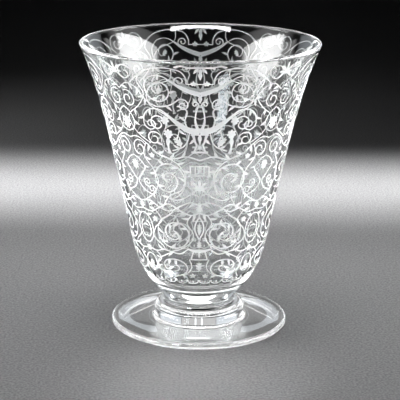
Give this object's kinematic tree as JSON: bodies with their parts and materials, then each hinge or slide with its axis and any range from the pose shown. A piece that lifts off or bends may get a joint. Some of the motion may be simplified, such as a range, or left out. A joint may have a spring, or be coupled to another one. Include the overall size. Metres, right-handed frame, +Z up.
{
  "type": "whiskey tumbler",
  "caption": "Footed whiskey tumbler in clear crystal: flared bowl with frosted scrollwork, short stepped stem and round foot.",
  "frame": {"origin": "centre of the foot's resting plane, under the glass's axis", "axes": "+Z up along the axis of the glass; the glass is round, and the scrollwork's main motif faces -Y"},
  "size_m": [0.078, 0.078, 0.095],
  "materials": {
    "crystal": "clear fire-polished lead crystal",
    "etched_frost": "acid-etched matt frost on the bowl's outer face"
  },
  "bodies": {
    "root": {"bowl": "crystal", "neck_collar": "crystal", "knop": "crystal", "foot": "crystal"}
  },
  "joints": []
}
